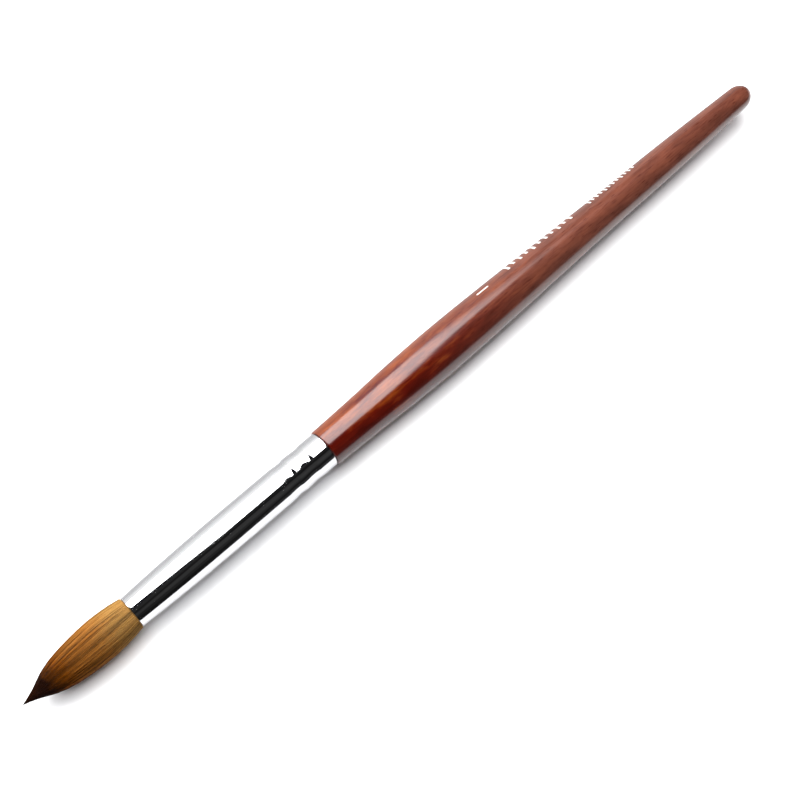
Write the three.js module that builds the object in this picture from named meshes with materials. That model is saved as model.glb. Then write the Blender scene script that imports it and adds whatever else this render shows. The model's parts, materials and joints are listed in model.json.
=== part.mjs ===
// A round, pointed acrylic nail brush: a natural-hair tuft set in a crimped metal ferrule
// on a turned wooden handle.
//
// Millimetres, +Z up. The brush lies along X on the plane z = 0, with the point of the hair
// at the -X end and the rounded end of the handle at the +X end. The origin is on that
// plane, under the middle of the brush. Every outline below is given as a list of
// (distance from the point of the hair, radius) and is turned about the brush's own axis.

import * as THREE from 'three';

// Lengths along the axis, measured from the point of the hair.
const TOTAL_LENGTH = 165;
const HAIR_OUT = 20;
const FERRULE_REAR = 59;
const ROOT_END = 36;
const TENON_NOSE = 44;
const TENON_STEP = 50.6;

// Radii of the outside.
const BELLY_RADIUS = 3.36;
const HAIR_FOOT_RADIUS = 2.8;
const MOUTH_RADIUS = 2.7;
const FERRULE_RADIUS = 3.17;
const SHOULDER_RADIUS = 3.36;
const GRIP_RADIUS = 4.16;
const END_RADIUS = 2.3;
const END_DOME_LENGTH = 2.9;

// Ferrule.
const WALL = 0.35;
const TAPER_END = 40;
const TAPER_STEPS = 5;
const LIP_RADIUS = 0.12;
const CRIMPS = [51.8, 55.3];
const CRIMP_WIDTH = 1.3;
const CRIMP_DEPTH = 0.06;

// Pieces that touch keep this much room between their faces.
const GAP = 0.05;

// Hair root, its binding and its resin. The hair narrows into the mouth over HAIR_TUCK.
const HAIR_TUCK = 0.12;
const ROOT_RADIUS = 2.3;
const WAIST_RADIUS = 2.1;
const WAIST_MIDDLE = 29.6;
const WAIST_LENGTH = 2.3;
const WAIST_RAMP = 0.5;
const THREAD_RADIUS = 0.12;
const THREAD_PITCH = 0.27;
const THREAD_TURNS = 7;
const THREAD_STEPS_A_TURN = 20;
const RESIN_FRONT = 33;
const RESIN_REAR = 39.5;
const MENISCUS = 0.5;

// Tenon and its glue.
const TENON_RADIUS = FERRULE_RADIUS - WALL - GAP;
const TENON_NOSE_RADIUS = 2.5;
const NOSE_CHAMFER = 0.4;
const GLUE_FRONT = 45.4;
const GLUE_REAR = 50.2;

// Facets round the axis. Half a facet of turn puts a flat, not an edge, on the ground.
const FACETS = 48;
const HAIR_STEPS = 16;
const HANDLE_STEPS = 24;
const HALF_FACET = Math.PI / FACETS;
const AXIS_HEIGHT = GRIP_RADIUS * Math.cos(HALF_FACET);

const material = {
  hair: new THREE.MeshStandardMaterial({ color: 0xa8713a, roughness: 0.55, metalness: 0 }),
  thread: new THREE.MeshStandardMaterial({ color: 0xe8e2d2, roughness: 0.9, metalness: 0 }),
  resin: new THREE.MeshStandardMaterial({ color: 0xc79a4b, roughness: 0.25, metalness: 0 }),
  ferrule: new THREE.MeshStandardMaterial({ color: 0xdfe0e4, roughness: 0.08, metalness: 1 }),
  handle: new THREE.MeshStandardMaterial({ color: 0x7c2e1c, roughness: 0.25, metalness: 0 }),
  glue: new THREE.MeshStandardMaterial({ color: 0xd8cfae, roughness: 0.4, metalness: 0 }),
};

const outline = (points) => points.map(([along, radius]) => new THREE.Vector2(radius, along));

// A smooth curve through a few outline points, as a list of outline points.
function smooth(points, steps) {
  const curve = new THREE.SplineCurve(points.map(([along, radius]) => new THREE.Vector2(along, radius)));
  return curve.getPoints(steps).map((point) => [point.x, point.y]);
}

// Turns an outline about the brush's axis.
function turned(name, points, finish) {
  const geometry = new THREE.LatheGeometry(outline(points), FACETS, HALF_FACET);
  geometry.rotateZ(-Math.PI / 2);
  const mesh = new THREE.Mesh(geometry, finish);
  mesh.name = name;
  return mesh;
}

// How far a crimp ring presses in at a place along the axis: a rounded valley.
function crimpDepth(along) {
  const nearest = Math.min(...CRIMPS.map((crimp) => Math.abs(along - crimp)));
  if (nearest >= CRIMP_WIDTH / 2) return 0;
  return CRIMP_DEPTH * Math.cos((Math.PI * nearest) / CRIMP_WIDTH) ** 2;
}

// Radius of the ferrule's outside before it is crimped: a cone that eases into a cylinder.
function ferruleOutside(along) {
  const share = THREE.MathUtils.clamp((along - HAIR_OUT) / (TAPER_END - HAIR_OUT), 0, 1);
  const eased = 1 - (1 - share) ** 2;
  return THREE.MathUtils.lerp(MOUTH_RADIUS, FERRULE_RADIUS, eased);
}

const ferruleInside = (along) => ferruleOutside(along) - WALL;

// Places along the axis where the ferrule's taper and its crimp rings need an outline point.
const taperPlaces = Array.from({ length: TAPER_STEPS }, (_, step) =>
  THREE.MathUtils.lerp(HAIR_OUT, TAPER_END, (step + 1) / TAPER_STEPS));
const crimpPlaces = CRIMPS.flatMap((crimp) =>
  [-0.5, -0.25, 0, 0.25, 0.5].map((share) => crimp + share * CRIMP_WIDTH));

function hairTuft() {
  const out = smooth([
    [0, 0],
    [1.6, 0.5],
    [4.9, 2.08],
    [8.3, 2.9],
    [13.6, BELLY_RADIUS],
    [17.4, 3.2],
    [HAIR_OUT - HAIR_TUCK, HAIR_FOOT_RADIUS],
  ], HAIR_STEPS);
  const waistFront = WAIST_MIDDLE - WAIST_LENGTH / 2;
  const waistRear = WAIST_MIDDLE + WAIST_LENGTH / 2;
  const points = [
    ...out,
    [HAIR_OUT - GAP, MOUTH_RADIUS - WALL - GAP],
    [waistFront - WAIST_RAMP, ROOT_RADIUS],
    [waistFront, WAIST_RADIUS],
    [waistRear, WAIST_RADIUS],
    [waistRear + WAIST_RAMP, ROOT_RADIUS],
    [ROOT_END, ROOT_RADIUS],
    [ROOT_END, 0],
  ];
  return turned('hair_tuft', points, material.hair);
}

// Thread wound tight round the waist of the hair root, as one helix.
class Winding extends THREE.Curve {
  getPoint(share, target = new THREE.Vector3()) {
    const angle = share * THREAD_TURNS * 2 * Math.PI;
    const radius = WAIST_RADIUS + GAP + THREAD_RADIUS;
    const along = WAIST_MIDDLE + (share - 0.5) * THREAD_TURNS * THREAD_PITCH;
    return target.set(along, radius * Math.cos(angle), radius * Math.sin(angle));
  }
}

function bindingThread() {
  const section = new THREE.Shape();
  section.absarc(0, 0, THREAD_RADIUS, 0, 2 * Math.PI);
  const geometry = new THREE.ExtrudeGeometry(section, {
    steps: THREAD_TURNS * THREAD_STEPS_A_TURN,
    curveSegments: 4,
    extrudePath: new Winding(),
  });
  const mesh = new THREE.Mesh(geometry, material.thread);
  mesh.name = 'binding_thread';
  return mesh;
}

// A cup of hard resin: its wall reaches forward round the hair, its floor closes the butt end.
function settingResin() {
  const outside = (along) => ferruleInside(along) - GAP;
  const points = [
    [ROOT_END + GAP, 0],
    [ROOT_END + GAP, ROOT_RADIUS + GAP],
    [RESIN_FRONT, ROOT_RADIUS + GAP],
    [RESIN_FRONT, outside(RESIN_FRONT)],
    [ROOT_END, outside(ROOT_END)],
    [RESIN_REAR, outside(RESIN_REAR)],
    [RESIN_REAR - MENISCUS, outside(RESIN_REAR) / 2],
    [RESIN_REAR - MENISCUS, 0],
  ];
  return turned('setting_resin', points, material.resin);
}

function ferrule() {
  const places = [HAIR_OUT + LIP_RADIUS, ...taperPlaces, ...crimpPlaces, FERRULE_REAR - LIP_RADIUS];
  const outside = places.map((along) => [along, ferruleOutside(along) - crimpDepth(along)]);
  const inside = [HAIR_OUT, ...places.slice(1, -1), FERRULE_REAR]
    .map((along) => [along, ferruleInside(along) - crimpDepth(along)])
    .reverse();
  const points = [
    [HAIR_OUT, MOUTH_RADIUS - LIP_RADIUS],
    ...outside,
    [FERRULE_REAR, FERRULE_RADIUS - LIP_RADIUS],
    ...inside,
    [HAIR_OUT, MOUTH_RADIUS - LIP_RADIUS],
  ];
  return turned('ferrule', points, material.ferrule);
}

function handle() {
  const tenon = [
    [TENON_NOSE, 0],
    [TENON_NOSE, TENON_NOSE_RADIUS - NOSE_CHAMFER],
    [TENON_NOSE + NOSE_CHAMFER, TENON_NOSE_RADIUS],
    [TENON_STEP, TENON_NOSE_RADIUS],
    [TENON_STEP, TENON_RADIUS],
    ...crimpPlaces.map((along) => [along, TENON_RADIUS - crimpDepth(along)]),
    [FERRULE_REAR + GAP, TENON_RADIUS],
    [FERRULE_REAR + GAP, SHOULDER_RADIUS - LIP_RADIUS],
  ];
  const body = smooth([
    [FERRULE_REAR + GAP + LIP_RADIUS, SHOULDER_RADIUS],
    [68, 3.62],
    [76, 3.97],
    [86, GRIP_RADIUS],
    [98, 3.97],
    [112, 3.6],
    [126, 3.23],
    [143, 2.92],
    [TOTAL_LENGTH - END_DOME_LENGTH, END_RADIUS],
  ], HANDLE_STEPS);
  const dome = [15, 30, 45, 60, 75, 90].map((degrees) => {
    const angle = THREE.MathUtils.degToRad(degrees);
    return [
      TOTAL_LENGTH - END_DOME_LENGTH * (1 - Math.sin(angle)),
      degrees === 90 ? 0 : END_RADIUS * Math.cos(angle),
    ];
  });
  return turned('handle', [...tenon, ...body, ...dome], material.handle);
}

function handleGlue() {
  const inner = TENON_NOSE_RADIUS + GAP;
  const points = [
    [GLUE_FRONT, inner],
    [GLUE_FRONT, ferruleInside(GLUE_FRONT) - GAP],
    [GLUE_REAR, ferruleInside(GLUE_REAR) - GAP],
    [GLUE_REAR, inner],
    [GLUE_FRONT, inner],
  ];
  return turned('handle_glue', points, material.glue);
}

const brush = new THREE.Group();
brush.position.set(-TOTAL_LENGTH / 2, 0, AXIS_HEIGHT);
brush.add(hairTuft());
brush.add(bindingThread());
brush.add(settingResin());
brush.add(ferrule());
brush.add(handle());
brush.add(handleGlue());

export default brush;
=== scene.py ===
"""A round, pointed acrylic nail brush: natural hair, a crimped ferrule and a lacquered handle.

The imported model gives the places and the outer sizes. Each operator makes one piece of the
brush, or gives the hidden pieces their finish, and the last one sets the studio up.
Everything is in metres. The brush lies along X, with the point of the hair at the -X end.
"""

import json
import math

import bpy
import numpy as np
from mathutils import Matrix, Vector


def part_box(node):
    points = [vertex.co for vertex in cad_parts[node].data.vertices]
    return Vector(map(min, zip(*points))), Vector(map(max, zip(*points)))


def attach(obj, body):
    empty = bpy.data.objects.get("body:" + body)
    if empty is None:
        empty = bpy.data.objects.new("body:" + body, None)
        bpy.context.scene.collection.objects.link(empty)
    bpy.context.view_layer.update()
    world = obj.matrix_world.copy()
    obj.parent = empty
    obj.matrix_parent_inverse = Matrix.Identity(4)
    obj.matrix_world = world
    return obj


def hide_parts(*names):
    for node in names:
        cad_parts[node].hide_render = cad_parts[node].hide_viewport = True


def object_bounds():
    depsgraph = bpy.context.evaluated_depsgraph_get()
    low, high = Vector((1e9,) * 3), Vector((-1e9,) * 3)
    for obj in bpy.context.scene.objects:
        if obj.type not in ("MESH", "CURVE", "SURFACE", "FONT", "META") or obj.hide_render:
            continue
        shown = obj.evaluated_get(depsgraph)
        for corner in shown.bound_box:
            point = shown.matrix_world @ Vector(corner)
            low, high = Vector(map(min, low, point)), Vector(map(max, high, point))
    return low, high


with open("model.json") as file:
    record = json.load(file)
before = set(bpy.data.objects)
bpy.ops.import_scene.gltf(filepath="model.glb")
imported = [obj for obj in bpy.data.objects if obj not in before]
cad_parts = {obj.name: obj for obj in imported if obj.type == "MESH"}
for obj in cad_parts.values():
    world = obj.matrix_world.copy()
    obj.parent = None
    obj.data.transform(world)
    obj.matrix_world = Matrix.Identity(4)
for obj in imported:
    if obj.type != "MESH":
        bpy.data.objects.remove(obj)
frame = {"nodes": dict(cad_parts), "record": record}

bl_info = {
    "name": "Acrylic Nail Brush",
    "version": (1, 0, 0),
    "blender": (4, 5, 0),
    "location": "3D View > Sidebar > Nail Brush",
    "description": "Builds a round acrylic nail brush with its hair, ferrule and turned handle",
    "category": "Add Mesh",
}

MM = 0.001
HAIR_GAP = 0.06  # millimetres left between the hair and the metal
PIECE_GAP = 0.05  # millimetres left between pieces that are set or glued together
TURNED_SIDES = 96  # facets round the ferrule and the handle, before they are subdivided
SHARP_DEGREES = 40  # an edge that turns more than this stays sharp
ROOT_BODY = "root"

# The frame: the box of the whole brush, and where its pieces meet along the axis.
FRAME_LOW, FRAME_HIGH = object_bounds()
POINT_X = FRAME_LOW[0]
END_X = FRAME_HIGH[0]
AXIS_Z = (FRAME_LOW[2] + FRAME_HIGH[2]) / 2
FERRULE_LOW, FERRULE_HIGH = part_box("ferrule")
MOUTH_X = FERRULE_LOW[0]
FERRULE_END_X = FERRULE_HIGH[0]
TENON_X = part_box("handle")[0][0]

# Radii that the frame gives: half of each piece's height.
FERRULE_RADIUS = (FERRULE_HIGH[2] - FERRULE_LOW[2]) / 2
GRIP_RADIUS = (FRAME_HIGH[2] - FRAME_LOW[2]) / 2
BELLY_RADIUS = (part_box("hair_tuft")[1][2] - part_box("hair_tuft")[0][2]) / 2


# --------------------------------------------------------------------------- settings

def length(name, description, default):
    return bpy.props.FloatProperty(
        name=name, description=description, default=default, min=0.0, precision=6,
        subtype="DISTANCE", unit="LENGTH",
    )


def colour(name, description, default):
    return bpy.props.FloatVectorProperty(
        name=name, description=description, default=default, size=3, min=0.0, max=1.0,
        subtype="COLOR",
    )


def number(name, description, default, low=0.0, high=1.0):
    return bpy.props.FloatProperty(
        name=name, description=description, default=default, min=low, max=high,
    )


def count(name, description, default):
    return bpy.props.IntProperty(name=name, description=description, default=default, min=1)


def angle(name, description, degrees):
    return bpy.props.FloatProperty(
        name=name, description=description, default=math.radians(degrees), subtype="ANGLE",
        unit="ROTATION",
    )


class HairSettings(bpy.types.PropertyGroup):
    """The tuft of natural hair."""

    strands: count("Strands", "Hairs in each of the three layers", 2400)
    thickness: length("Thickness", "Thickness of one hair at its belly", 0.085 * MM)
    layer_depth: number("Layer depth", "Share of the radius that the hairs lie in", 0.06)
    locks: count("Locks", "Locks that the hair gathers into round the tuft", 74)
    gather: number("Gather", "How far a hair is drawn to the middle of its lock", 0.42)
    seed: count("Seed", "Start of the random draws", 7)
    gold: colour("Gold", "Colour at the ferrule", (0.27, 0.142, 0.038))
    amber: colour("Amber", "Colour at the belly", (0.235, 0.092, 0.016))
    brown: colour("Brown", "Colour where the hair narrows", (0.135, 0.037, 0.001))
    dark: colour("Dark", "Colour of the point", (0.014, 0.0028, 0.0003))


class FerruleSettings(bpy.types.PropertyGroup):
    """The metal tube."""

    mouth_radius: length("Mouth radius", "Outer radius at the hair end", 2.7 * MM)
    wall: length("Wall", "Thickness of the metal", 0.35 * MM)
    taper: length("Taper", "Length over which the tube opens to its full radius", 20 * MM)
    lip: length("Lip", "Radius of the rounded ends", 0.12 * MM)
    crimp_front: length("Front crimp", "From the rear end of the tube to the front crimp", 7.2 * MM)
    crimp_rear: length("Rear crimp", "From the rear end of the tube to the rear crimp", 3.7 * MM)
    crimp_run: length("Crimp run", "Length of a ring's gentle slope, on the hair side", 2.4 * MM)
    crimp_rise: length("Crimp rise", "Length of its steep slope, on the handle side", 0.85 * MM)
    crimp_depth: length("Crimp depth", "Depth of a crimp ring", 0.12 * MM)
    metal: colour("Metal", "Colour of the plating", (0.73, 0.73, 0.745))
    roughness: number("Roughness", "Roughness of the polish", 0.07)


class HandleSettings(bpy.types.PropertyGroup):
    """The turned wooden handle and its foil mark."""

    shoulder_radius: length("Shoulder radius", "Radius where the ferrule ends", 3.36 * MM)
    end_radius: length("End radius", "Radius where the rounded end begins", 2.3 * MM)
    dome: length("Dome", "Length of the rounded end", 2.9 * MM)
    orange_wood: colour("Orange wood", "Lightest grain", (0.23, 0.044, 0.005))
    red_wood: colour("Red wood", "Main colour of the stain", (0.078, 0.0034, 0.0004))
    dark_wood: colour("Dark wood", "Pores and late wood", (0.035, 0.0014, 0.0003))
    # Thin-end colour: painted haze of reflected light over the stain.
    thin_end_haze_wood: colour("Faded wood", "Stain at the thin end", (0.135, 0.042, 0.026))
    gloss: number("Gloss", "Roughness of the lacquer", 0.17)
    foil: colour("Foil", "Colour of the printed mark", (0.93, 0.9, 0.87))
    foil_height: length("Foil height", "Height of the tallest bar of the mark", 2.6 * MM)
    foil_thickness: length("Foil thickness", "Thickness of the print", 0.02 * MM)
    foil_turn: angle("Foil turn", "Turn of the mark from the top of the handle", 47.5)


class StudioSettings(bpy.types.PropertyGroup):
    """Floor, lights and camera."""

    azimuth: angle("Azimuth", "Turn of the camera round the brush", -43.55)
    elevation: angle("Elevation", "Height of the camera above the horizon", 63.9)
    distance: length("Distance", "From the camera to the point it looks at", 200 * MM)
    aim_along: length("Aim along", "From the point of the hair to where the camera looks", 74.06 * MM)
    aim_right: length("Aim right", "Shift of the aim to the right in the picture", 1.21 * MM)
    aim_down: length("Aim down", "Shift of the aim down in the picture", 1.43 * MM)
    lens: number("Lens", "Focal length on a 36 mm sensor, in millimetres", 54.9, 10, 200)
    key: number("Key light", "Strength of the overhead light, in watts", 38.0, 0, 200)
    fill: number("Fill light", "Brightness of the air round the brush", 0.13)
    softbox: number("Softbox", "Brightness of the overhead panel in reflections", 7.5, 0, 20)
    backdrop: number("Backdrop", "Brightness of the far wall in reflections", 1.36, 0, 20)
    # Far table: painted shade of the far side of the table, seen only in reflections.
    far_table_reflection_shade: number("Far table", "Colour of the far side of the table in reflections", 0.31)
    floor: colour("Floor", "Colour of the table top", (0.9, 0.9, 0.91))


# --------------------------------------------------------------------------- modelling

def from_point(millimetres):
    """X of a place given by its distance from the point of the hair."""
    return POINT_X + millimetres * MM


def clear_selection():
    """Nothing selected and nothing in edit mode, so that an operator acts on the new piece only."""
    if bpy.context.object and bpy.context.object.mode != "OBJECT":
        bpy.ops.object.mode_set(mode="OBJECT")
    bpy.ops.object.select_all(action="DESELECT")


def activate(piece):
    clear_selection()
    piece.select_set(True)
    bpy.context.view_layer.objects.active = piece


def edit_all():
    """Edit mode with all of the active piece selected."""
    bpy.ops.object.mode_set(mode="EDIT")
    bpy.ops.mesh.select_all(action="SELECT")


def leave_edit():
    bpy.ops.object.mode_set(mode="OBJECT")


def settle(piece, name):
    """Puts a piece's place into its mesh and names it."""
    activate(piece)
    bpy.ops.object.transform_apply(location=True, rotation=True, scale=True)
    piece.name = name
    piece.data.name = name


def apply_modifier(piece, kind, **values):
    activate(piece)
    bpy.ops.object.modifier_add(type=kind)
    modifier = piece.modifiers[-1]
    for key, value in values.items():
        setattr(modifier, key, value)
    bpy.ops.object.modifier_apply(modifier=modifier.name)


def smooth_outline(points, steps):
    """Points along a smooth curve through a few (along, radius) places."""
    places = [Vector(point) for point in points]
    last = len(places) - 1
    curve = []
    for step in range(steps + 1):
        position = step / steps * last
        index = min(int(position), last - 1)
        share = position - index
        before, here = places[max(index - 1, 0)], places[index]
        after, beyond = places[index + 1], places[min(index + 2, last)]
        leave, arrive = (after - before) / 2, (beyond - here) / 2
        curve.append(
            here * (2 * share**3 - 3 * share**2 + 1)
            + after * (3 * share**2 - 2 * share**3)
            + leave * (share**3 - 2 * share**2 + share)
            + arrive * (share**3 - share**2)
        )
    return [(point.x, point.y) for point in curve]


def round_corner(centre_x, centre_radius, radius, start, end, steps=4):
    """Outline points round a corner, from one direction to another in degrees."""
    turns = [math.radians(start + (end - start) * step / steps) for step in range(steps + 1)]
    return [(centre_x + radius * math.cos(t), centre_radius + radius * math.sin(t)) for t in turns]


def turned_piece(name, outline, segments, closed):
    """A piece turned on the lathe: a ring drawn along the axis and resized at each outline point.

    A closed outline comes back to its first point, which makes a tube. An open one starts and
    ends on the axis, and its poles are drawn together.
    """
    clear_selection()
    first_x, first_radius = outline[0]
    bpy.ops.mesh.primitive_circle_add(
        vertices=segments, radius=first_radius, fill_type="NOTHING",
        location=(first_x, 0, AXIS_Z), rotation=(0, math.pi / 2, 0),
    )
    piece = bpy.context.object
    settle(piece, name)
    edit_all()
    if not closed:
        bpy.ops.mesh.duplicate()
        bpy.ops.mesh.edge_face_add()
        bpy.ops.mesh.poke()
        bpy.ops.mesh.select_all(action="DESELECT")
        select_ring(piece, first_x)
    x, radius = first_x, first_radius
    for next_x, next_radius in outline[1:]:
        scale = next_radius / radius
        bpy.ops.mesh.extrude_region_move(TRANSFORM_OT_translate={"value": (next_x - x, 0, 0)})
        bpy.ops.transform.resize(value=(1, scale, scale), center_override=(next_x, 0, AXIS_Z))
        x, radius = next_x, next_radius
    if not closed:
        bpy.ops.mesh.edge_face_add()
        bpy.ops.mesh.poke()
    bpy.ops.mesh.select_all(action="SELECT")
    bpy.ops.mesh.remove_doubles(threshold=1e-7)
    bpy.ops.mesh.normals_make_consistent(inside=False)
    leave_edit()
    return piece


def select_ring(piece, x):
    """Selects the edges of the ring at one place along the axis, in edit mode."""
    bpy.ops.object.mode_set(mode="OBJECT")
    mesh = piece.data
    near = [abs(vertex.co.x - x) < 1e-7 for vertex in mesh.vertices]
    edge_of_face = {}
    for face in mesh.polygons:
        for key in face.edge_keys:
            edge_of_face[key] = edge_of_face.get(key, 0) + 1
    for edge in mesh.edges:
        first, second = edge.vertices
        edge.select = near[first] and near[second] and edge_of_face.get(edge.key, 0) < 2
    bpy.ops.object.mode_set(mode="EDIT")
    bpy.ops.mesh.select_mode(type="EDGE")


def shade_smooth(piece):
    activate(piece)
    bpy.ops.object.shade_smooth_by_angle(angle=math.radians(SHARP_DEGREES))


def finish_smooth(piece):
    """Subdivides a turned piece and shades it smooth, with its sharp edges kept."""
    apply_modifier(piece, "SUBSURF", levels=1, render_levels=1)
    shade_smooth(piece)


def wear(piece, material):
    piece.data.materials.clear()
    piece.data.materials.append(material)


# --------------------------------------------------------------------------- outlines

def tuft_outline():
    """The outer shape of the hair, from its point to the ferrule's mouth."""
    mouth = (MOUTH_X - POINT_X) / MM
    belly = BELLY_RADIUS / MM
    return smooth_outline([
        (0.0, 0.04),
        (1.6, 0.5),
        (4.9, 2.08),
        (8.3, 2.9),
        (13.6, belly),
        (17.4, 3.2),
        (mouth - HAIR_GAP, 2.8),
    ], 40)


def ferrule_crimp(settings, x):
    """How deep the crimp rings press the tube in at a place along it."""
    depth = 0.0
    for back in (settings.crimp_front, settings.crimp_rear):
        away = x - (FERRULE_END_X - back)
        reach = settings.crimp_rise if away > 0 else settings.crimp_run
        if abs(away) < reach:
            depth += settings.crimp_depth * math.cos(math.pi / 2 * away / reach) ** 2
    return depth


def ferrule_radius(settings, x):
    """Outer radius of the tube before it is crimped: a cone that eases into a cylinder."""
    share = min(max((x - MOUTH_X) / settings.taper, 0.0), 1.0)
    eased = 1 - (1 - share) ** 2
    return settings.mouth_radius + (FERRULE_RADIUS - settings.mouth_radius) * eased


def ferrule_places(settings):
    """Places along the tube: wide steps on the taper and fine ones through the crimp rings."""
    lip, run, rise = settings.lip, settings.crimp_run, settings.crimp_rise
    wide_places, run_steps, rise_steps = 34, 10, 8
    places = list(np.linspace(MOUTH_X + lip, FERRULE_END_X - lip, wide_places))
    for back in (settings.crimp_front, settings.crimp_rear):
        middle = FERRULE_END_X - back
        places = [x for x in places if not middle - run < x < middle + rise]
        places += [middle - run * step / run_steps for step in range(1, run_steps + 1)]
        places += [middle + rise * step / rise_steps for step in range(rise_steps + 1)]
    return sorted(places)


def handle_outline(settings):
    """The handle behind the ferrule, from its shoulder to the pole of its rounded end."""
    shoulder = (FERRULE_END_X - POINT_X) / MM + PIECE_GAP
    full = (END_X - POINT_X) / MM
    dome = settings.dome / MM
    end_radius = settings.end_radius / MM
    corner = 0.16
    shoulder_radius = settings.shoulder_radius / MM
    body = smooth_outline([
        (shoulder + corner, shoulder_radius),
        (68, 3.62),
        (76, 3.97),
        (86, GRIP_RADIUS / MM),
        (98, 3.97),
        (112, 3.6),
        (126, 3.23),
        (143, 2.92),
        (full - dome, end_radius),
    ], 60)
    front = round_corner(shoulder + corner, shoulder_radius - corner, corner, 180, 90)
    rounded = [
        (full - dome * (1 - math.sin(turn)), end_radius * math.cos(turn))
        for turn in np.radians([9, 18, 27, 36, 45, 54, 63, 72, 81, 87])
    ]
    return front + body[1:] + rounded


def tenon_outline(settings, ferrule):
    """The part of the handle inside the ferrule, crimped with it."""
    room = PIECE_GAP * MM
    nose, chamfer, seat_length, clear_of_step = 2.5, 0.4, 8.4, 0.2
    step = (FERRULE_END_X - POINT_X) / MM - seat_length
    start = (TENON_X - POINT_X) / MM
    seat = (FERRULE_RADIUS - ferrule.wall - room) / MM
    crimped = [
        ((x - POINT_X) / MM, seat - ferrule_crimp(ferrule, x) / MM)
        for x in ferrule_places(ferrule)
        if x > from_point(step + clear_of_step)
    ]
    return [
        (start, nose - chamfer),
        (start + chamfer, nose),
        (step, nose),
        (step, seat),
        *crimped,
        ((FERRULE_END_X - POINT_X + room) / MM, seat),
    ]


def to_metres(outline):
    return [(from_point(along), radius * MM) for along, radius in outline]


# --------------------------------------------------------------------------- hair strands

def strand_model(rings):
    """One hair as a straight three-sided rod with its length along X from 0 to 1 and radius 1."""
    clear_selection()
    bpy.ops.mesh.primitive_cylinder_add(
        vertices=3, radius=1, depth=1, end_fill_type="TRIFAN",
        location=(0.5, 0, 0), rotation=(0, math.pi / 2, 0),
    )
    rod = bpy.context.object
    settle(rod, "strand_model")
    bpy.ops.object.mode_set(mode="EDIT")
    for ring in range(1, rings):
        bpy.ops.mesh.select_all(action="SELECT")
        bpy.ops.mesh.bisect(plane_co=(ring / rings, 0, 0), plane_no=(1, 0, 0))
    bpy.ops.object.mode_set(mode="OBJECT")
    points = np.array([vertex.co[:] for vertex in rod.data.vertices])
    faces = [tuple(face.vertices) for face in rod.data.polygons]
    bpy.data.objects.remove(rod)
    return points, faces


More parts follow.
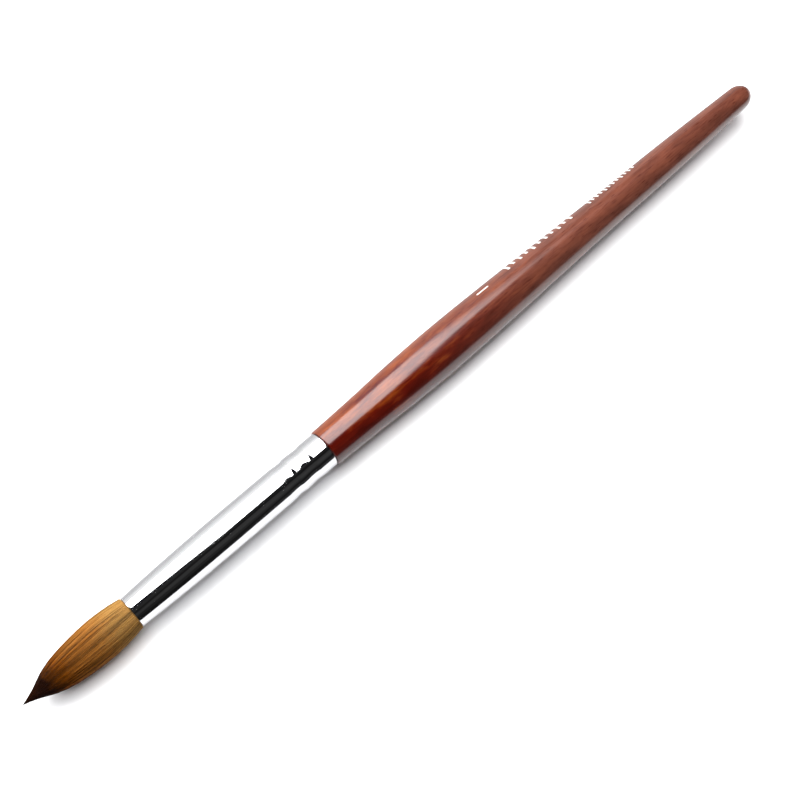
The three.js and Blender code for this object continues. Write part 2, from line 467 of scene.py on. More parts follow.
class Tuft:
    """The places of the hairs: each starts inside the ferrule and ends somewhere on the cone."""

    RINGS = 12
    ROOT_DEPTH = 0.9 * MM  # how far a hair reaches into the ferrule
    TAPERING = 3.5 * MM  # length over which a hair thins to its end
    TIP_SHARE = 0.22  # thickness of a hair's end, as a share of the rest

    def __init__(self, settings, ferrule):
        self.settings = settings
        outline = np.array(tuft_outline()) * MM
        mouth = MOUTH_X - POINT_X
        inside = ferrule.mouth_radius - ferrule.wall - HAIR_GAP * MM
        self.swell = mouth - HAIR_GAP * MM
        self.neck = mouth - HAIR_GAP / 2 * MM
        self.root = mouth + self.ROOT_DEPTH
        self.along = np.append(outline[:, 0], [self.neck, self.root])
        self.radius = np.append(outline[:, 1], [inside, inside])
        draws = np.random.default_rng(settings.seed)
        self.lock_turn = np.sort(draws.uniform(0, 2 * math.pi, settings.locks))
        self.lock_tone = draws.uniform(0, 1, settings.locks)
        self.lock_rise = draws.normal(0, 1, settings.locks)
        self.lock_sway = draws.normal(0, 1, settings.locks)

    def layer(self, name, number_of_hairs, depth, end_range, seed):
        """One mesh of hairs. depth is the range of shares of the radius they lie at."""
        settings = self.settings
        draws = np.random.default_rng(settings.seed * 100 + seed)
        points, faces = strand_model(self.RINGS)
        share_along = np.round(points[:, 0] * self.RINGS).astype(int)
        section_turn = np.arctan2(points[:, 2], points[:, 1])
        on_axis = np.hypot(points[:, 1], points[:, 2]) < 0.5

        turn = draws.uniform(0, 2 * math.pi, number_of_hairs)
        lock = np.searchsorted(self.lock_turn, turn) % settings.locks
        pull = wrap(self.lock_turn[lock] - turn) * settings.gather
        low, high = depth
        share = draws.uniform(low, high, number_of_hairs)
        near, far = end_range
        end = (near + (far - near) * draws.uniform(0, 1, number_of_hairs) ** 1.4) * MM
        thick = settings.thickness / 2 * draws.uniform(0.75, 1.25, number_of_hairs)
        drift = draws.normal(0, 0.02, number_of_hairs)
        stray = draws.normal(0, 1, number_of_hairs)
        tone = np.clip(0.3 * self.lock_tone[lock] + draws.normal(0.35, 0.27, number_of_hairs), 0, 1)

        start = np.repeat([[self.root, self.neck, self.swell]], number_of_hairs, axis=0)
        free = self.swell - HAIR_GAP * MM
        body = free + (end[:, None] - free) * np.linspace(0, 1, self.RINGS - 2)
        along = np.concatenate([start, body], axis=1)
        forward = np.clip((self.swell - along) / self.swell, 0, 1)
        angle_at = turn[:, None] + pull[:, None] * np.sqrt(forward)
        angle_at += drift[:, None] * np.sin(forward * 5 + stray[:, None])
        angle_at += 0.02 * self.lock_sway[lock][:, None] * np.sin(forward * 3)
        outer = np.interp(along, self.along, self.radius)
        belly = np.sin(forward * math.pi)
        rise = 1 + belly * (0.012 * self.lock_rise[lock] + 0.006 * stray)[:, None]
        to_end = np.clip((along - end[:, None]) / self.TAPERING, 0, 1)
        width = thick[:, None] * (self.TIP_SHARE + (1 - self.TIP_SHARE) * np.sqrt(to_end))
        width = np.minimum(width, 0.02 * MM + outer * 0.12)
        centre_radius = np.maximum(outer * share[:, None] * rise - width, 0.0)

        centres = np.stack([
            POINT_X + along,
            centre_radius * np.cos(angle_at),
            AXIS_Z + centre_radius * np.sin(angle_at),
        ], axis=-1)
        outward = np.stack([np.zeros_like(along), np.cos(angle_at), np.sin(angle_at)], axis=-1)
        sideways = np.stack([np.zeros_like(along), -np.sin(angle_at), np.cos(angle_at)], axis=-1)
        centre = centres[:, share_along]
        reach = np.where(on_axis, 0.0, width[:, share_along])[..., None]
        spot = centre + reach * (
            np.cos(section_turn)[:, None] * outward[:, share_along]
            + np.sin(section_turn)[:, None] * sideways[:, share_along]
        )
        per_hair = len(points)
        mesh = bpy.data.meshes.new(name)
        all_faces = [
            tuple(index + hair * per_hair for index in face)
            for hair in range(number_of_hairs)
            for face in faces
        ]
        mesh.from_pydata(spot.reshape(-1, 3), [], all_faces)
        write_attribute(mesh, "hair_tone", np.repeat(tone, per_hair))
        write_attribute(mesh, "from_tip", (along - end[:, None])[:, share_along].ravel() / MM)
        mesh.validate()
        piece = bpy.data.objects.new(name, mesh)
        bpy.context.collection.objects.link(piece)
        activate(piece)
        edit_all()
        bpy.ops.mesh.normals_make_consistent(inside=False)
        leave_edit()
        bpy.ops.object.shade_smooth()
        return piece


def wrap(turns):
    """Angles brought between minus and plus half a turn."""
    return (turns + math.pi) % (2 * math.pi) - math.pi


def write_attribute(mesh, name, values):
    attribute = mesh.attributes.new(name, "FLOAT", "POINT")
    attribute.data.foreach_set("value", np.ascontiguousarray(values, dtype=np.float32))


# --------------------------------------------------------------------------- node helpers

class Nodes:
    """Short ways to add nodes to one tree and link them. position is the place they work from."""

    def __init__(self, tree, position=None):
        self.tree = tree
        self.position = position

    def add(self, kind, inputs=None, **values):
        node = self.tree.nodes.new(kind)
        for key, value in values.items():
            setattr(node, key, value)
        for key, value in (inputs or {}).items():
            self.feed(node.inputs[key], value)
        return node

    def feed(self, socket, value):
        if isinstance(value, bpy.types.NodeSocket):
            self.tree.links.new(value, socket)
        elif isinstance(value, bpy.types.Node):
            self.tree.links.new(value.outputs[0], socket)
        elif socket.type == "RGBA":
            socket.default_value = (*value[:3], 1.0)
        else:
            socket.default_value = value

    def math(self, operation, first, second=None, clamp=False):
        inputs = {0: first} if second is None else {0: first, 1: second}
        return self.add("ShaderNodeMath", inputs, operation=operation, use_clamp=clamp).outputs[0]

    def split(self, vector):
        return self.add("ShaderNodeSeparateXYZ", {0: vector}).outputs

    def grey(self, value):
        return self.add("ShaderNodeCombineColor", {0: value, 1: value, 2: value}).outputs[0]

    def mix(self, factor, first, second, blend="MIX"):
        node = self.add("ShaderNodeMix", data_type="RGBA", blend_type=blend)
        self.feed(node.inputs["Factor"], factor)
        self.feed(node.inputs[6], first)
        self.feed(node.inputs[7], second)
        return node.outputs[2]

    def rescale(self, value, low, high, to_low=0.0, to_high=1.0, smooth=False):
        kind = "SMOOTHSTEP" if smooth else "LINEAR"
        inputs = {"Value": value, 1: low, 2: high, 3: to_low, 4: to_high}
        return self.add("ShaderNodeMapRange", inputs, interpolation_type=kind).outputs[0]

    def ramp(self, factor, stops):
        node = self.add("ShaderNodeValToRGB", {"Fac": factor})
        ramp = node.color_ramp
        ramp.elements[0].position, ramp.elements[-1].position = stops[0][0], stops[-1][0]
        for position, _ in stops[1:-1]:
            ramp.elements.new(position)
        for element, (_, shade) in zip(ramp.elements, stops):
            element.color = (*shade[:3], 1.0)
        return node.outputs["Color"]


def new_group(name, inputs, output):
    """An empty shader node group that takes a Position and numbers, and puts out one number.

    Returns its nodes helper, its input sockets and its output socket.
    """
    tree = bpy.data.node_groups.new(name, "ShaderNodeTree")
    tree.interface.new_socket("Position", in_out="INPUT", socket_type="NodeSocketVector")
    for label, default in inputs.items():
        socket = tree.interface.new_socket(label, in_out="INPUT", socket_type="NodeSocketFloat")
        socket.default_value = default
    tree.interface.new_socket(output, in_out="OUTPUT", socket_type="NodeSocketFloat")
    nodes = Nodes(tree)
    start = nodes.add("NodeGroupInput").outputs
    nodes.position = start["Position"]
    return nodes, start, nodes.add("NodeGroupOutput").inputs[output]


def group(name):
    """The node group of that name, built the first time it is asked for."""
    return bpy.data.node_groups.get(name) or GROUPS[name]()


def streaks_group():
    """Streaks that run along the brush, as in hair, grain or drawn metal."""
    nodes, start, end = new_group("lengthwise_streaks", {
        "Fineness": 1000.0, "Stretch": 20.0, "Detail": 2.0, "Offset": 0.0,
    }, "Streaks")
    split = nodes.split(nodes.position)
    moved = nodes.math("ADD", nodes.math("DIVIDE", split["X"], start["Stretch"]), start["Offset"])
    place = nodes.add("ShaderNodeCombineXYZ", {0: moved, 1: split["Y"], 2: split["Z"]})
    noise = nodes.add("ShaderNodeTexNoise", {
        "Vector": place, "Scale": start["Fineness"], "Detail": start["Detail"], "Roughness": 0.55,
    })
    nodes.feed(end, noise)
    return nodes.tree


def waver_group():
    """The gentle unevenness of a polished or lacquered surface, as a height."""
    nodes, start, end = new_group("surface_waver", {
        "Broad": 400.0, "Fine": 3000.0, "Fine share": 0.2,
    }, "Height")
    broad, fine = (
        nodes.add("ShaderNodeTexNoise", {
            "Vector": nodes.position, "Scale": start[scale], "Detail": detail,
        })
        for scale, detail in (("Broad", 1.0), ("Fine", 2.0))
    )
    nodes.feed(end, nodes.math("ADD", broad, nodes.math("MULTIPLY", fine, start["Fine share"])))
    return nodes.tree


def specks_group():
    """Scattered specks, such as pores, dust or pits: 1 on a speck and 0 elsewhere."""
    nodes, start, end = new_group("scattered_specks", {
        "Fineness": 1500.0, "Stretch": 1.0, "Size": 0.25, "Share": 0.3,
    }, "Specks")
    split = nodes.split(nodes.position)
    slow = nodes.math("DIVIDE", split["X"], start["Stretch"])
    place = nodes.add("ShaderNodeCombineXYZ", {0: slow, 1: split["Y"], 2: split["Z"]})
    cells = nodes.add("ShaderNodeTexVoronoi", {
        "Vector": place, "Scale": start["Fineness"], "Randomness": 1.0,
    }).outputs
    share = nodes.math("DIVIDE", cells["Distance"], start["Size"])
    inside = nodes.math("SUBTRACT", 1.0, share, clamp=True)
    chosen = nodes.add("ShaderNodeSeparateColor", {0: cells["Color"]})
    kept = nodes.math("LESS_THAN", chosen, start["Share"])
    nodes.feed(end, nodes.math("MULTIPLY", inside, kept))
    return nodes.tree


GROUPS = {
    "lengthwise_streaks": streaks_group,
    "surface_waver": waver_group,
    "scattered_specks": specks_group,
}


def new_material(name):
    """A material with a Principled BSDF. Returns it with its nodes helper and its shader."""
    material = bpy.data.materials.new(name)
    material.use_nodes = True
    nodes = Nodes(material.node_tree)
    shader = next(node for node in material.node_tree.nodes if node.type == "BSDF_PRINCIPLED")
    nodes.position = nodes.add("ShaderNodeTexCoord").outputs["Object"]
    return material, nodes, shader


def effect(nodes, name, **inputs):
    """A shared effect placed in a material, with this material's own values."""
    node = nodes.add("ShaderNodeGroup", node_tree=group(name))
    nodes.feed(node.inputs["Position"], nodes.position)
    for key, value in inputs.items():
        nodes.feed(node.inputs[key.replace("_", " ")], value)
    return node.outputs[0]


def along_brush(nodes):
    """Distance from the point of the hair, in millimetres."""
    from_start = nodes.math("SUBTRACT", nodes.split(nodes.position)["X"], POINT_X)
    return nodes.math("MULTIPLY", from_start, 1 / MM)


def coat(nodes, shader, colour, roughness):
    """Feeds the two values that every finish varies over its surface."""
    nodes.feed(shader.inputs["Base Color"], colour)
    nodes.feed(shader.inputs["Roughness"], roughness)


def bump(nodes, shader, height, distance):
    node = nodes.add("ShaderNodeBump", {"Height": height, "Distance": distance, "Strength": 1.0})
    nodes.feed(shader.inputs["Normal"], node.outputs["Normal"])


# --------------------------------------------------------------------------- materials

def hair_material(settings, strands):
    """Natural hair, golden at the ferrule and nearly black at the point."""
    material, nodes, shader = new_material("natural_hair" if strands else "packed_hair")
    along = along_brush(nodes)
    uneven = effect(nodes, "lengthwise_streaks", Fineness=1700.0, Stretch=40.0, Detail=3.0)
    shift = nodes.math("MULTIPLY", nodes.math("SUBTRACT", uneven, 0.5), 5.0)
    place = nodes.math("ADD", along, shift)
    gold, amber, brown, dark = (Vector(c) for c in (
        settings.gold, settings.amber, settings.brown, settings.dark))
    body = nodes.ramp(nodes.rescale(place, 0.0, 20.0), [
        (0.0, dark),
        (0.20, dark),
        (0.28, dark.lerp(brown, 0.4)),
        (0.36, brown),
        (0.47, brown.lerp(amber, 0.5)),
        (0.66, amber),
        (0.88, gold),
        (1.0, gold * 1.05),
    ])
    if strands:
        tone = nodes.add("ShaderNodeAttribute", attribute_name="hair_tone").outputs["Fac"]
        tip = nodes.add("ShaderNodeAttribute", attribute_name="from_tip").outputs["Fac"]
        bright = nodes.rescale(tone, 0.0, 1.0, 0.25, 1.75)
        ends = nodes.rescale(tip, 0.0, 3.0, 0.75, 1.0)
        hair_tone_and_core_shade = nodes.math("MULTIPLY", bright, ends)
    else:
        # Painted shade: the packed core is painted darker than the loose hairs, so the gaps between them
        # read dark.
        fine = effect(nodes, "lengthwise_streaks", Fineness=5200.0,
                      Stretch=60.0, Detail=2.0, Offset=3.0)
        hair_tone_and_core_shade = nodes.rescale(fine, 0.3, 0.7, 0.35, 0.85)
    shade = nodes.mix(1.0, body, nodes.grey(hair_tone_and_core_shade), blend="MULTIPLY")
    scales = effect(nodes, "lengthwise_streaks", Fineness=9000.0, Stretch=30.0)
    coat(nodes, shader, shade, nodes.rescale(scales, 0.3, 0.7, 0.4, 0.55))
    shader.inputs["Specular IOR Level"].default_value = 0.15
    return material


def ferrule_material(settings):
    """Polished plating with a trace of the drawing marks, handling marks and fine pits."""
    material, nodes, shader = new_material("polished_plating")
    drawn = effect(nodes, "lengthwise_streaks", Fineness=2600.0, Stretch=90.0, Detail=2.0)
    hazy = effect(nodes, "surface_waver", Broad=160.0, Fine=1200.0, Fine_share=0.4)
    pits = effect(nodes, "scattered_specks", Fineness=900.0, Size=0.16, Share=0.05)
    metal = Vector(settings.metal)
    tint = nodes.mix(nodes.rescale(drawn, 0.35, 0.65), metal * 0.93, metal * 1.04)
    base = nodes.rescale(hazy, 0.5, 0.9, settings.roughness * 0.7, settings.roughness * 1.3)
    rough = nodes.math("ADD", base, nodes.math("MULTIPLY", pits, 0.2))
    coat(nodes, shader, nodes.mix(pits, tint, metal * 0.5), rough)
    shader.inputs["Metallic"].default_value = 1.0
    waver = effect(nodes, "surface_waver", Broad=300.0, Fine=1800.0, Fine_share=0.06)
    marks = nodes.math("MULTIPLY", drawn, 0.12)
    bump(nodes, shader, nodes.math("ADD", waver, marks), 0.012 * MM)
    return material


def wood_material(settings):
    """Red-brown stained hardwood under clear gloss lacquer."""
    material, nodes, shader = new_material("stained_lacquered_wood")
    broad = effect(nodes, "lengthwise_streaks", Fineness=500.0, Stretch=3.5, Detail=4.0)
    grain = effect(nodes, "lengthwise_streaks", Fineness=1300.0, Stretch=6.0,
                   Detail=4.0, Offset=5.0)
    fine = effect(nodes, "lengthwise_streaks", Fineness=4200.0, Stretch=14.0,
                  Detail=2.0, Offset=9.0)
    pores = effect(nodes, "scattered_specks", Fineness=2600.0, Stretch=6.0, Size=0.3, Share=0.4)
    orange, red, dark, haze_tint = (Vector(c) for c in (
        settings.orange_wood, settings.red_wood, settings.dark_wood, settings.thin_end_haze_wood))
    grown = nodes.math("ADD", nodes.math("MULTIPLY", broad, 0.6), nodes.math("MULTIPLY", grain, 0.4))
    # Painted light: the +Y side, where the key light falls, is painted more orange and the camera side
    # deeper red, on top of the grain figure.
    toward_lit_side = nodes.split(nodes.position)["Y"]
    side = nodes.rescale(toward_lit_side, -GRIP_RADIUS, GRIP_RADIUS, -0.1, 0.14)
    grain_and_painted_lit_side = nodes.math("ADD", grown, side)
    stain = nodes.ramp(grain_and_painted_lit_side, [
        (0.34, dark.lerp(red, 0.3)),
        (0.46, red),
        (0.56, red.lerp(orange, 0.45)),
        (0.68, orange),
    ])
    # Towards the thin end the wood is painted paler and greyer: painted haze of reflected light on the
    # lacquer, laid over the stain and grain.
    painted_haze_along = nodes.rescale(along_brush(nodes), 74.0, 114.0, 0.0, 0.9, smooth=True)
    worn = nodes.mix(nodes.rescale(grain_and_painted_lit_side, 0.38, 0.62), haze_tint * 0.72, haze_tint * 1.12)
    stain_under_painted_haze = nodes.mix(painted_haze_along, stain, worn)
    lined = nodes.mix(nodes.rescale(fine, 0.5, 0.72, 0.0, 0.4), stain_under_painted_haze, dark)
    pored = nodes.mix(nodes.math("MULTIPLY", pores, 0.75), lined, dark)
    coat(nodes, shader, pored, nodes.rescale(grain, 0.3, 0.7, 0.32, 0.46))
    shader.inputs["Coat Weight"].default_value = 1.0
    shader.inputs["Coat Roughness"].default_value = settings.gloss
    shader.inputs["Coat IOR"].default_value = 1.55
    shader.inputs["Specular IOR Level"].default_value = 0.05
    peel = effect(nodes, "surface_waver", Broad=260.0, Fine=1400.0, Fine_share=0.12)
    sunk = nodes.math("SUBTRACT", peel, nodes.math("MULTIPLY", pores, 0.15))
    bump(nodes, shader, sunk, 0.03 * MM)
    return material


def foil_material(settings):
    """Pale hot-stamped foil, a little worn."""
    material, nodes, shader = new_material("pale_foil")
    rubbed = effect(nodes, "surface_waver", Broad=2500.0, Fine=9000.0, Fine_share=0.5)
    foil = Vector(settings.foil)
    rubbed_foil = nodes.mix(nodes.rescale(rubbed, 0.55, 1.0), foil, foil * 0.8)
    coat(nodes, shader, rubbed_foil, nodes.rescale(rubbed, 0.5, 1.0, 0.28, 0.5))
    shader.inputs["Metallic"].default_value = 0.25
    return material


def thread_material(tint):
    """Waxed thread: fine twisted plies."""
    material, nodes, shader = new_material("waxed_thread")
    plies = nodes.add("ShaderNodeTexWave", {
        "Vector": nodes.position, "Scale": 3500.0, "Distortion": 1.5, "Detail": 2.0,
    }, bands_direction="DIAGONAL").outputs["Fac"]
    warm = Vector(tint)
    coat(nodes, shader, nodes.mix(plies, warm * 0.7, warm), nodes.rescale(plies, 0, 1, 0.7, 0.5))
    bump(nodes, shader, plies, 0.02 * MM)
    return material


def resin_material(tint):
    """Hard amber resin with a few trapped bubbles."""
    material, nodes, shader = new_material("setting_resin")
    bubbles = effect(nodes, "scattered_specks", Fineness=2200.0, Size=0.3, Share=0.2)
    cloud = effect(nodes, "surface_waver", Broad=500.0, Fine=2500.0, Fine_share=0.4)
    amber = Vector(tint)
    body = nodes.mix(nodes.rescale(cloud, 0.5, 0.9), amber * 0.75, amber)
    bubbly = nodes.mix(bubbles, body, (0.85, 0.72, 0.45))
    coat(nodes, shader, bubbly, nodes.rescale(cloud, 0.5, 0.9, 0.12, 0.25))
    bump(nodes, shader, cloud, 0.02 * MM)
    return material


def glue_material(tint):
    """Dried handle glue, matt and a little wrinkled."""
    material, nodes, shader = new_material("dried_glue")
    skin = effect(nodes, "surface_waver", Broad=900.0, Fine=5000.0, Fine_share=0.5)
    cream = Vector(tint)
    wrinkled = nodes.mix(nodes.rescale(skin, 0.5, 1.0), cream * 0.7, cream)
    coat(nodes, shader, wrinkled, nodes.rescale(skin, 0.5, 1.0, 0.4, 0.65))
    bump(nodes, shader, skin, 0.03 * MM)
    return material


def glow_material(name, strength_from):
    """A light panel that is seen in reflections but adds no lamp light of its own."""
    material = bpy.data.materials.new(name)
    material.use_nodes = True
    material.cycles.emission_sampling = "NONE"
    nodes = Nodes(material.node_tree)
    for node in list(material.node_tree.nodes):
        material.node_tree.nodes.remove(node)
    nodes.position = nodes.add("ShaderNodeTexCoord").outputs["Object"]
    light = nodes.add("ShaderNodeEmission", {"Color": nodes.grey(strength_from(nodes))})
    nodes.add("ShaderNodeOutputMaterial", {"Surface": light})
    return material


# --------------------------------------------------------------------------- operators

class NAILBRUSH_OT_hair(bpy.types.Operator):
    """Make the tuft: a packed core and three layers of separate hairs"""

    bl_idname = "nail_brush.hair"
    bl_label = "Hair"

    def execute(self, context):
        settings = context.scene.nail_brush_hair
        inner = 1 - settings.layer_depth
        outline = [(along, radius * inner) for along, radius in tuft_outline()[1:]]
        mouth = (MOUTH_X - POINT_X) / MM
        mouth_radius, root_radius, root_depth = 2.24, 2.2, 1
        outline += [(mouth, mouth_radius), (mouth + root_depth, root_radius)]
        core = turned_piece("tuft_core", to_metres(outline), TURNED_SIDES // 2, closed=False)
        finish_smooth(core)
        wear(core, hair_material(settings, strands=False))
        packed_in(core, "hair_tuft")

        tuft = Tuft(settings, context.scene.nail_brush_ferrule)
        finish = hair_material(settings, strands=True)
        layers = [
            ("hair_under", (inner - 0.03, inner + 0.02), (0.0, 4.0)),
            ("hair_middle", (inner, 1.0), (0.3, 11.0)),
            ("hair_top", (inner + 0.02, 1.005), (2.0, 15.0)),
        ]
        for seed, (name, depth, ends) in enumerate(layers):
            piece = tuft.layer(name, settings.strands, depth, ends, seed)
            wear(piece, finish)
            packed_in(piece, "hair_tuft")
        return {"FINISHED"}


class NAILBRUSH_OT_ferrule(bpy.types.Operator):
    """Make the ferrule: a tapered metal tube with rounded ends and two crimp rings"""

    bl_idname = "nail_brush.ferrule"
    bl_label = "Ferrule"

    def execute(self, context):
        settings = context.scene.nail_brush_ferrule
        lip, wall = settings.lip, settings.wall
        places = ferrule_places(settings)
        outside = [(x, ferrule_radius(settings, x) - ferrule_crimp(settings, x)) for x in places]
        inside = [(x, radius - wall) for x, radius in outside]
        mouth, end = settings.mouth_radius, FERRULE_RADIUS
        front = round_corner(MOUTH_X + lip, mouth - lip, lip, 180, 90)
        rear = round_corner(FERRULE_END_X - lip, end - lip, lip, 90, 0)
        edge = lip * 0.3
        outline = [
            *front,
            *outside[1:-1],
            *rear,
            (FERRULE_END_X, end - wall + edge),
            (FERRULE_END_X - edge, end - wall),
            *reversed(inside[1:-1]),
            (MOUTH_X + edge, mouth - wall),
            (MOUTH_X, mouth - wall + edge),
            (MOUTH_X, mouth - lip),
        ]
        shell = turned_piece("ferrule_shell", outline, TURNED_SIDES, closed=True)
        finish_smooth(shell)
        wear(shell, ferrule_material(settings))
        packed_in(shell, "ferrule")
        return {"FINISHED"}


class NAILBRUSH_OT_handle(bpy.types.Operator):
    """Make the handle: tenon, shoulder, swelling grip and rounded end, turned as one piece"""

    bl_idname = "nail_brush.handle"
    bl_label = "Handle"

    def execute(self, context):
        settings = context.scene.nail_brush_handle
        outline = tenon_outline(settings, context.scene.nail_brush_ferrule)
        outline += handle_outline(settings)
        handle = turned_piece("handle_turned", to_metres(outline), TURNED_SIDES, closed=False)
        finish_smooth(handle)
        wear(handle, wood_material(settings))
        packed_in(handle, "handle")
        return {"FINISHED"}


class NAILBRUSH_OT_foil(bpy.types.Operator):
    """Make the foil mark: plain bars stamped in two runs along the top of the handle"""

    bl_idname = "nail_brush.foil"
    bl_label = "Foil mark"

    def execute(self, context):
        settings = context.scene.nail_brush_handle
        tall = settings.foil_height / MM
        heights = (1.0, 0.62, 0.8, 0.62)
        # Each bar: its start along the brush, length, height and shift aside, in millimetres.
        bars = [(95.5, 2.6, 0.36, -1.3)]
        bars += [(103.0 + 1.55 * n, 0.5, tall * heights[n % 4], 0) for n in range(11)]
        bars += [(123.4 + 1.03 * n, 0.36, tall * 0.75 * heights[n % 4], 0) for n in range(12)]
        handle = bpy.data.objects["handle_turned"]
        clear_selection()
        reach = GRIP_RADIUS + 0.4 * MM
        bpy.ops.mesh.primitive_plane_add(size=1, location=(0, 0, AXIS_Z + reach))
        mark = bpy.context.object
        settle(mark, "foil_mark")
        edit_all()
        bpy.ops.mesh.subdivide(number_cuts=3)
        leave_edit()
        model = mark.data.copy()
        pieces = []
        for along, bar_length, height, aside in bars:
            copy = bpy.data.objects.new("bar", model.copy())
            context.collection.objects.link(copy)
            place = Matrix.Translation((from_point(along + bar_length / 2), aside * MM, 0))
            copy.data.transform(place @ Matrix.Diagonal((bar_length * MM, height * MM, 1, 1)))
            pieces.append(copy)
        bpy.data.objects.remove(mark)
        clear_selection()
        for copy in pieces:
            copy.select_set(True)
        context.view_layer.objects.active = pieces[0]
        bpy.ops.object.join()
        mark = bpy.context.object
        mark.name = mark.data.name = "foil_mark"
        edit_all()
        bpy.ops.transform.rotate(value=settings.foil_turn, orient_axis="X",
                                 center_override=(0, 0, AXIS_Z))
        leave_edit()
        apply_modifier(mark, "SHRINKWRAP", target=handle, wrap_method="NEAREST_SURFACEPOINT",
                       wrap_mode="ABOVE_SURFACE", offset=settings.foil_thickness)
        apply_modifier(mark, "SOLIDIFY", thickness=settings.foil_thickness * 1.5, offset=-1)
        shade_smooth(mark)
        wear(mark, foil_material(settings))
        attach(mark, ROOT_BODY)
        return {"FINISHED"}


class NAILBRUSH_OT_hidden(bpy.types.Operator):
    """Give the thread, the resin and the glue inside the ferrule their finish"""

    bl_idname = "nail_brush.hidden"
    bl_label = "Thread, resin and glue"

    def execute(self, context):
        tints = {entry["slot"]: entry["base_color"] for entry in frame["record"]["materials"]}
        wear(frame["nodes"]["binding_thread"], thread_material(tints["thread"]))
        wear(frame["nodes"]["setting_resin"], resin_material(tints["resin"]))
        wear(frame["nodes"]["handle_glue"], glue_material(tints["adhesive"]))
        return {"FINISHED"}


class NAILBRUSH_OT_studio(bpy.types.Operator):
    """Set up the floor, the soft lights and the camera"""

    bl_idname = "nail_brush.studio"
    bl_label = "Studio"

    def execute(self, context):
        settings = context.scene.nail_brush_studio
        make_camera(settings)
        make_floor(settings)
        make_air(settings)
        make_lights(settings)
        context.scene.view_settings.view_transform = "Standard"
        return {"FINISHED"}


def packed_in(piece, node):
    """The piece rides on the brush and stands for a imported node, in its finish."""
    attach(piece, ROOT_BODY)
    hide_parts(node)


# --------------------------------------------------------------------------- studio

def view_axes(settings):
    """The camera's right, up and backward directions."""
    turn, rise = settings.azimuth, settings.elevation
    back = Vector((
        math.sin(turn) * math.cos(rise),
        -math.cos(turn) * math.cos(rise),
        math.sin(rise),
    ))
    right = Vector((math.cos(turn), math.sin(turn), 0))
    return right, back.cross(right), back


def aim_point(settings):
    right, up, _ = view_axes(settings)
    middle = Vector((POINT_X + settings.aim_along, 0, AXIS_Z))
    return middle + right * settings.aim_right - up * settings.aim_down


def make_camera(settings):
    right, up, back = view_axes(settings)
    camera = bpy.data.objects.new("camera", bpy.data.cameras.new("camera"))
    bpy.context.collection.objects.link(camera)
    camera.data.lens = settings.lens
    camera.data.sensor_width = 36
    camera.data.clip_start = 0.005
    camera.location = aim_point(settings) + back * settings.distance
    camera.rotation_euler = Matrix((right, up, back)).transposed().to_euler()
    bpy.context.scene.camera = camera


def make_floor(settings):
    clear_selection()
    bpy.ops.mesh.primitive_plane_add(size=6, location=(0, 0, FRAME_LOW[2] - 0.01 * MM))
    floor = bpy.context.object
    settle(floor, "table_top")
    material, nodes, shader = new_material("white_table_top")
    tone = effect(nodes, "surface_waver", Broad=3.0, Fine=40.0, Fine_share=0.1)
    pale = Vector(settings.floor)
    # Painted shade in reflections: glossy rays see the table beyond 4 mm on the +Y side darker, by the
    # far-table setting.
    far = nodes.rescale(nodes.split(nodes.position)["Y"], 0.0, 4 * MM)
    painted_reflection_shade = nodes.math("MULTIPLY", far, nodes.add("ShaderNodeLightPath").outputs["Is Glossy Ray"])
    seen = nodes.mix(painted_reflection_shade, pale, pale * settings.far_table_reflection_shade)
    clouded = nodes.mix(nodes.math("MULTIPLY", tone, 0.04), seen, pale)
    coat(nodes, shader, clouded, nodes.rescale(tone, 0.3, 0.9, 0.2, 0.26))
    wear(floor, material)


def make_air(settings):
    """The surroundings: pale to the camera, dim to surfaces and dark in reflections."""
    world = bpy.data.worlds.new("studio_air")
    world.use_nodes = True
    bpy.context.scene.world = world
    nodes = Nodes(world.node_tree)
    backing = next(node for node in world.node_tree.nodes if node.type == "BACKGROUND")
    ray = nodes.add("ShaderNodeLightPath")
    dim = nodes.mix(ray.outputs["Is Diffuse Ray"], (0.018, 0.018, 0.02),
                    tuple(settings.fill * c for c in (1.0, 1.0, 1.04)))
    nodes.feed(backing.inputs["Color"], nodes.mix(ray.outputs["Is Camera Ray"], dim,
                                                  (0.85, 0.86, 0.88)))


def reflection_card(name, corners, material):
    """A flat card seen only in reflections. corners go round it."""
    clear_selection()
    bpy.ops.mesh.primitive_circle_add(vertices=len(corners), fill_type="NGON")
    card = bpy.context.object
    for vertex, corner in zip(card.data.vertices, corners):
        vertex.co = corner
    card.name = card.data.name = name
    wear(card, material)
    for ray in ("camera", "diffuse", "transmission", "volume_scatter", "shadow"):
        setattr(card, "visible_" + ray, False)


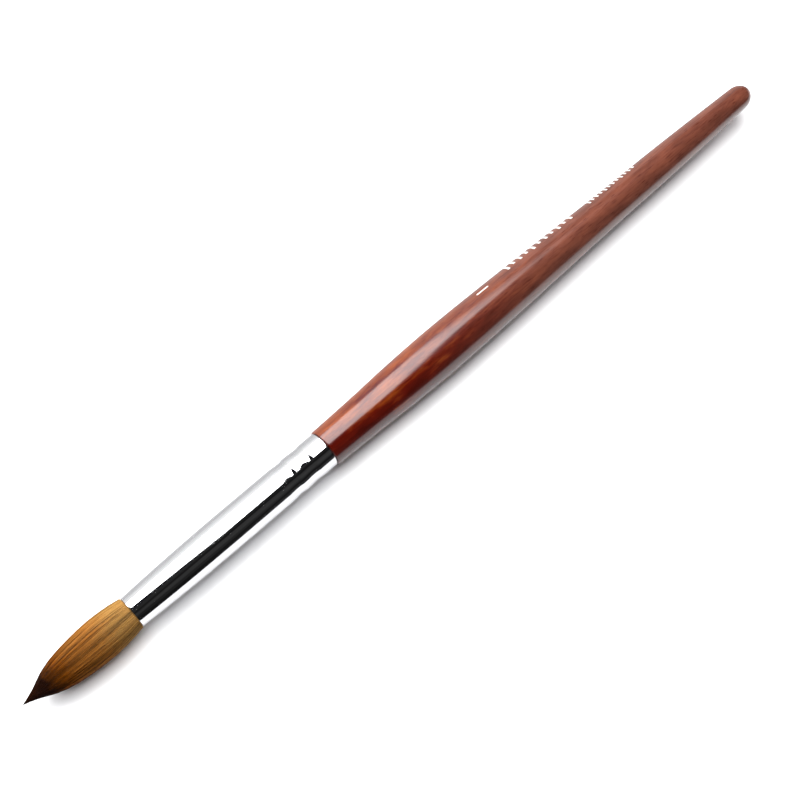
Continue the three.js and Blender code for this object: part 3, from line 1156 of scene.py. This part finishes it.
def make_lights(settings):
    right, up, back = view_axes(settings)
    ceiling = 0.9
    far_side = 1.12

    lamp = bpy.data.objects.new("key_light", bpy.data.lights.new("key_light", "AREA"))
    bpy.context.collection.objects.link(lamp)
    lamp.data.shape = "SQUARE"
    lamp.data.size = 1.6
    lamp.data.energy = settings.key
    lamp.location = (0.1, 0.35, ceiling)
    lamp.rotation_euler = (Vector(lamp.location)).to_track_quat("Z", "Y").to_euler()
    lamp.visible_camera = False
    lamp.visible_glossy = False

    def panel_strength(nodes):
        beside = nodes.split(nodes.position)["X"]
        return nodes.rescale(beside, 0.34, 0.64, settings.softbox, 0.02, smooth=True)

    reflection_card("softbox", [
        (-1.2, 0.9, ceiling), (-0.22, 0.34, ceiling), (-0.03, -0.06, ceiling), (0.18, -0.45, ceiling),
        (0.21, -0.27, ceiling), (0.32, 0.0, ceiling), (0.66, 0.25, ceiling),
        (0.68, far_side, ceiling), (-1.2, far_side, ceiling),
    ], glow_material("softbox_glow", panel_strength))

    def wall_strength(nodes):
        split = nodes.split(nodes.position)
        cloud = effect(nodes, "surface_waver", Broad=4.0, Fine=14.0, Fine_share=0.3)
        rising = nodes.rescale(split["Z"], 0.0, ceiling, settings.backdrop * 0.62, settings.backdrop)
        dimmer = nodes.math("MULTIPLY", rising, nodes.rescale(split["X"], 0.45, 0.9, 1.0, 0.6))
        return nodes.math("MULTIPLY", dimmer, nodes.rescale(cloud, 0.4, 0.9, 0.85, 1.1))

    wide = 2.5
    reflection_card("backdrop", [
        (-wide, far_side, 0), (wide, far_side, 0), (wide, far_side, ceiling), (-wide, far_side, ceiling),
    ], glow_material("backdrop_glow", wall_strength))

    def dark_room(nodes):
        shapes = effect(nodes, "lengthwise_streaks", Fineness=55.0, Stretch=14.0, Detail=2.0)
        return nodes.rescale(shapes, 0.42, 0.72, 0.009, 0.07)

    behind_camera = settings.distance + 5 * MM
    centre = Vector((POINT_X + settings.aim_along, 0, AXIS_Z)) + back * behind_camera
    top, half, drop = -25 * MM, 0.8, 1.2
    reflection_card("dark_flag", [
        centre - right * half - up * drop, centre + right * half - up * drop,
        centre + right * half + up * top, centre - right * half + up * top,
    ], glow_material("flag_black", dark_room))

    side, half, foot, top = -30 * MM, 0.9, -1 * MM, 0.11
    reflection_card("side_flag", [
        (-half, side, foot), (half, side, foot), (half, side, top), (-half, side, top),
    ], glow_material("side_black", dark_room))


# --------------------------------------------------------------------------- panel

class NAILBRUSH_PT_panel(bpy.types.Panel):
    """Lists the steps that build the brush, with their settings"""

    bl_idname = "NAILBRUSH_PT_panel"
    bl_label = "Nail Brush"
    bl_space_type = "VIEW_3D"
    bl_region_type = "UI"
    bl_category = "Nail Brush"

    def draw(self, context):
        for step, settings_name in STEPS:
            box = self.layout.box()
            box.operator(step.bl_idname)
            settings = getattr(context.scene, settings_name, None) if settings_name else None
            for key in (settings.__annotations__ if settings else ()):
                box.prop(settings, key)


STEPS = [
    (NAILBRUSH_OT_hair, "nail_brush_hair"),
    (NAILBRUSH_OT_ferrule, "nail_brush_ferrule"),
    (NAILBRUSH_OT_handle, "nail_brush_handle"),
    (NAILBRUSH_OT_foil, None),
    (NAILBRUSH_OT_hidden, None),
    (NAILBRUSH_OT_studio, "nail_brush_studio"),
]

SETTINGS = {
    "nail_brush_hair": HairSettings,
    "nail_brush_ferrule": FerruleSettings,
    "nail_brush_handle": HandleSettings,
    "nail_brush_studio": StudioSettings,
}

CLASSES = [*SETTINGS.values(), *(step for step, _ in STEPS), NAILBRUSH_PT_panel]


def register():
    for cls in CLASSES:
        bpy.utils.register_class(cls)
    for name, cls in SETTINGS.items():
        setattr(bpy.types.Scene, name, bpy.props.PointerProperty(type=cls))


def unregister():
    for name in SETTINGS:
        delattr(bpy.types.Scene, name)
    for cls in reversed(CLASSES):
        bpy.utils.unregister_class(cls)


def main():
    register()
    bpy.ops.nail_brush.hair()
    bpy.ops.nail_brush.ferrule()
    bpy.ops.nail_brush.handle()
    bpy.ops.nail_brush.foil()
    bpy.ops.nail_brush.hidden()
    bpy.ops.nail_brush.studio()


if __name__ == "__main__":
    main()
